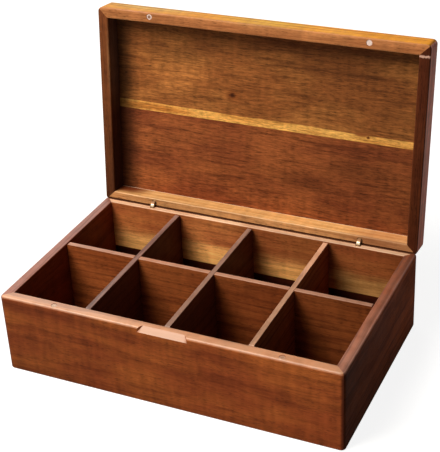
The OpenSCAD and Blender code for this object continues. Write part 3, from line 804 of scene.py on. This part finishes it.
# How a metal part's axis runs: up, up in the shut lid, and from left to right
upright = Matrix.Identity(3)
leaning = Matrix.Rotation(lidOpen, 3, "X")
crosswise = Matrix(((0, 1, 0), (0, 0, 1), (1, 0, 0)))
hingeParts = [("_hinge_lower_barrel", oldBrass, upright), ("_hinge_upper_barrel", oldBrass, leaning),
              ("_hinge_lower_pin", steel, crosswise), ("_hinge_upper_pin", steel, crosswise),
              ("_hinge_link", brass, crosswise)]
for side in ("left", "right"):
    for part, look, spin in hingeParts:
        low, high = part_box(side + part)
        centre = (low + high) / 2
        if part == "_hinge_link":       # it is curved round the lid's turning axis
            centre = Vector((centre.x, lidPivot.y, lidPivot.z))
        dressMetal(side + part, look, centre, spin)
    low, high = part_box("box_magnet_" + side)
    dressMetal("box_magnet_" + side, lacquered if side == "left" else lacqueredShadedCentre, (low + high) / 2, upright)
    low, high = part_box("lid_magnet_" + side)
    dressMetal("lid_magnet_" + side, ringed if side == "left" else nickel, (low + high) / 2, leaning)
print("hinges and magnets done")

# Photograph's camera. Place and clip are in metres, angles in degrees, the sensor in millimetres,
# focal length and long side in pixels
shot = {"place": (0.373561, -0.740554, 0.588065), "azimuth": 26.127, "elevation": 29.759,
        "roll": -3.088, "focal": 1213.538, "longSide": 452, "sensor": 36, "clip": (0.05, 50)}


def addCamera():
    a, e, r = (math.radians(shot[key]) for key in ("azimuth", "elevation", "roll"))
    back = Vector((math.sin(a) * math.cos(e), -math.cos(a) * math.cos(e), math.sin(e)))
    right = Vector((math.cos(a), math.sin(a), 0))
    up = back.cross(right)
    rightRolled = math.cos(r) * right + math.sin(r) * up
    upRolled = math.cos(r) * up - math.sin(r) * right
    camera = bpy.data.objects.new("camera", bpy.data.cameras.new("camera"))
    bpy.context.scene.collection.objects.link(camera)
    turn = Matrix((rightRolled, upRolled, back)).transposed().to_4x4()
    camera.matrix_world = Matrix.Translation(shot["place"]) @ turn
    camera.data.sensor_width = shot["sensor"]
    camera.data.lens = shot["focal"] * shot["sensor"] / shot["longSide"]
    camera.data.clip_start, camera.data.clip_end = shot["clip"]
    bpy.context.scene.camera = camera


# Soft studio light: a key above the left front, a sheen light behind the left, a weak fill
lamps = {
    "key": {"place": (-0.55, -0.62, 1.25), "aim": (0, 0, 0.05), "size": (0.8, 0.8), "watts": 30.0,
            "color": (1.0, 0.97, 0.92)},
    "sheen": {"place": (-0.75, 1.05, 0.85), "aim": (0, 0, 0.1), "size": (0.9, 0.6), "watts": 5.0,
              "color": (1.0, 0.96, 0.93)},
    "fill": {"place": (0.1, -1.6, 0.5), "aim": (0, 0, 0.1), "size": (1.2, 0.9), "watts": 1.5,
             "color": (1.0, 0.97, 0.94)}}


def addLamp(name, lamp):
    data = bpy.data.lights.new(name, "AREA")
    data.shape = "RECTANGLE"
    data.size, data.size_y = lamp["size"]
    data.energy = lamp["watts"]
    data.color = lamp["color"]
    light = bpy.data.objects.new(name, data)
    light.location = lamp["place"]
    light.rotation_euler = (Vector(lamp["aim"]) - Vector(lamp["place"])).to_track_quat("-Z", "Y").to_euler()
    bpy.context.scene.collection.objects.link(light)


# The camera and clear rays see white paper, and glossy rays a share of it
def paperSight(tree, share):
    rays = put(tree, "LightPath").outputs
    seen = calc(tree, "MAXIMUM", rays["Is Camera Ray"], rays["Is Transmission Ray"])
    return calc(tree, "MAXIMUM", seen, calc(tree, "MULTIPLY", rays["Is Glossy Ray"], share))


surroundings = {"shine": 0.7, "white": (1, 1, 1, 1), "dim": (0.025, 0.0245, 0.024, 1)}


def addWorld():
    world = bpy.data.worlds.new("studio")
    world.use_nodes = True
    tree = world.node_tree
    tree.nodes.clear()
    sight = paperSight(tree, surroundings["shine"])
    color = mixColor(tree, sight, surroundings["dim"], surroundings["white"])
    sky = put(tree, "Background", {"Color": color, "Strength": 1.0})
    put(tree, "OutputWorld", {"Surface": sky.outputs[0]})
    layOut(tree)
    bpy.context.scene.world = world


# Pale floor under the box. It keeps the shadow, and is lifted to paper white for the camera.
# Reach and drop are in metres, tooth is the paper's relief, with its depth in millimetres
floorLook = {"pale": "#9a9895", "lift": 0.88, "shine": 0.1, "reach": 6.0, "drop": 0.0002,
             "roughness": 0.5, "tooth": (900.0, 3.0, 0.6), "toothStrength": 0.1, "toothDepth": 0.1}


def addFloor():
    mesh = bpy.data.meshes.new("floor")
    reach = floorLook["reach"]
    corners = [(-reach, -reach, 0), (reach, -reach, 0), (reach, reach, 0), (-reach, reach, 0)]
    mesh.from_pydata(corners, [], [(0, 1, 2, 3)])
    floor = bpy.data.objects.new("floor", mesh)
    bpy.context.scene.collection.objects.link(floor)
    floor.location.z = -floorLook["drop"]
    material, tree = openMaterial("floorPaper")
    tooth = noise(tree, put(tree, "TexCoord").outputs["Object"], *floorLook["tooth"])
    bump = put(tree, "Bump", {"Height": tooth, "Strength": floorLook["toothStrength"],
                              "Distance": floorLook["toothDepth"] * mm})
    shade = put(tree, "BsdfDiffuse", {"Color": paint(floorLook["pale"]), "Normal": bump.outputs["Normal"],
                                      "Roughness": floorLook["roughness"]})
    lift = calc(tree, "MULTIPLY", paperSight(tree, floorLook["shine"]), floorLook["lift"])
    glow = put(tree, "Emission", {"Color": surroundings["white"], "Strength": lift})
    both = put(tree, "AddShader", {0: shade.outputs[0], 1: glow.outputs[0]})
    closeMaterial(material, both.outputs[0], mesh)


addCamera()
for name, lamp in lamps.items():
    addLamp(name, lamp)
addWorld()
addFloor()
bpy.context.scene.view_settings.view_transform = "Standard"
print("camera, light and floor done")
